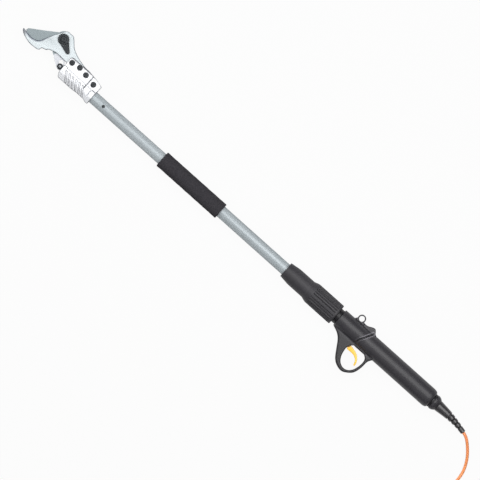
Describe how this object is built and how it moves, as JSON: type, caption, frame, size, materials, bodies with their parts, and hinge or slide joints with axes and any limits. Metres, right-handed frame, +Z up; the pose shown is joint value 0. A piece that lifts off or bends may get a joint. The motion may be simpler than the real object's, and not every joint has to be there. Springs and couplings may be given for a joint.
{
  "type": "cordless pole pruner",
  "caption": "Pole pruner with a hook and blade head driven along an aluminium pole, a foam sleeve, a twist collar and a moulded handle with a finger trigger and a lead for a worn battery.",
  "frame": {"origin": "on the floor under the middle of the tool as it lies, measured without its cord", "axes": "+X along the pole towards the cutting head, +Y towards the trigger's side, +Z up, square to the plane in which the blade swings"},
  "size_m": [1.4824, 0.2607, 0.051],
  "materials": {
    "cast": "fine cast and clear coated",
    "plate": "nickel plated",
    "blade": "ground and hardened",
    "steel": "bright",
    "black_steel": "black oxide",
    "tube": "anodised",
    "foam": "closed-cell foam",
    "plastic": "fine moulded texture",
    "amber": "smooth",
    "cord": "smooth sheath",
    "brass": "bright",
    "board": "lacquered",
    "rubber": "moulded"
  },
  "bodies": {
    "tool": {"hook_plate": "plate", "pivot_bolt": "black_steel", "pivot_nut": "black_steel", "lock_plate": "black_steel", "lock_screw": "black_steel", "head_housing_upper": "cast", "head_housing_lower": "cast", "housing_screw_1": "black_steel", "housing_screw_2": "black_steel", "housing_screw_3": "black_steel", "clamp_screw": "black_steel", "screw_bearing": "steel", "gearbox": "steel", "motor": "black_steel", "motor_cable": "rubber", "pole_tube": "tube", "tube_screw": "black_steel", "foam_sleeve": "foam", "collet": "plastic", "coupling_spigot": "plastic", "handle_shell_upper": "plastic", "handle_shell_lower": "plastic", "trigger_pin": "steel", "trigger_spring": "steel", "control_board": "board", "power_wire": "rubber", "handle_screw_1": "black_steel", "handle_screw_2": "black_steel", "handle_screw_3": "black_steel", "handle_screw_4": "black_steel", "handle_screw_5": "black_steel", "gland_body": "plastic", "gland_nut": "plastic", "cord_boot": "rubber", "cord_lead": "cord", "cord_coil": "cord", "cord_tail": "cord", "plug_body": "rubber", "plug_pin_1": "brass", "plug_pin_2": "brass"},
    "blade": {"cutting_blade": "blade"},
    "slide": {"crosshead": "steel", "crosshead_pin": "steel", "pin_ring": "black_steel", "drive_nut": "brass"},
    "spindle": {"drive_screw": "steel"},
    "collar": {"lock_collar": "plastic"},
    "finger_trigger": {"trigger": "amber", "trigger_magnet": "steel"}
  },
  "joints": [
    {"name": "blade_swing", "type": "hinge", "parent": "tool", "child": "blade", "pos_m": [0.57464, -0.05859, 0.0255], "axis": [0, 0, -1], "range_deg": [0, 45]},
    {"name": "crosshead_slide", "type": "slide", "parent": "tool", "child": "slide", "axis": [1, 0, 0], "range_m": [0, 0.0435]},
    {"name": "drive_screw_turn", "type": "hinge", "parent": "tool", "child": "spindle", "pos_m": [0.47264, -0.00689, 0.0255], "axis": [1, 0, 0], "range_deg": [0, 1600]},
    {"name": "collar_turn", "type": "hinge", "parent": "tool", "child": "collar", "pos_m": [-0.27636, -0.00689, 0.0255], "axis": [1, 0, 0], "range_deg": [0, 90]},
    {"name": "trigger_pull", "type": "hinge", "parent": "tool", "child": "finger_trigger", "pos_m": [-0.33796, 0.02391, 0.0255], "axis": [0, 0, 1], "range_deg": [0, 16], "stiffness_Nm_per_rad": 0.8}
  ],
  "couplings": [
    {"joint": "crosshead_slide", "follows": "blade_swing", "m_per_rad": 0.0549},
    {"joint": "drive_screw_turn", "follows": "blade_swing", "ratio": 34.5}
  ]
}
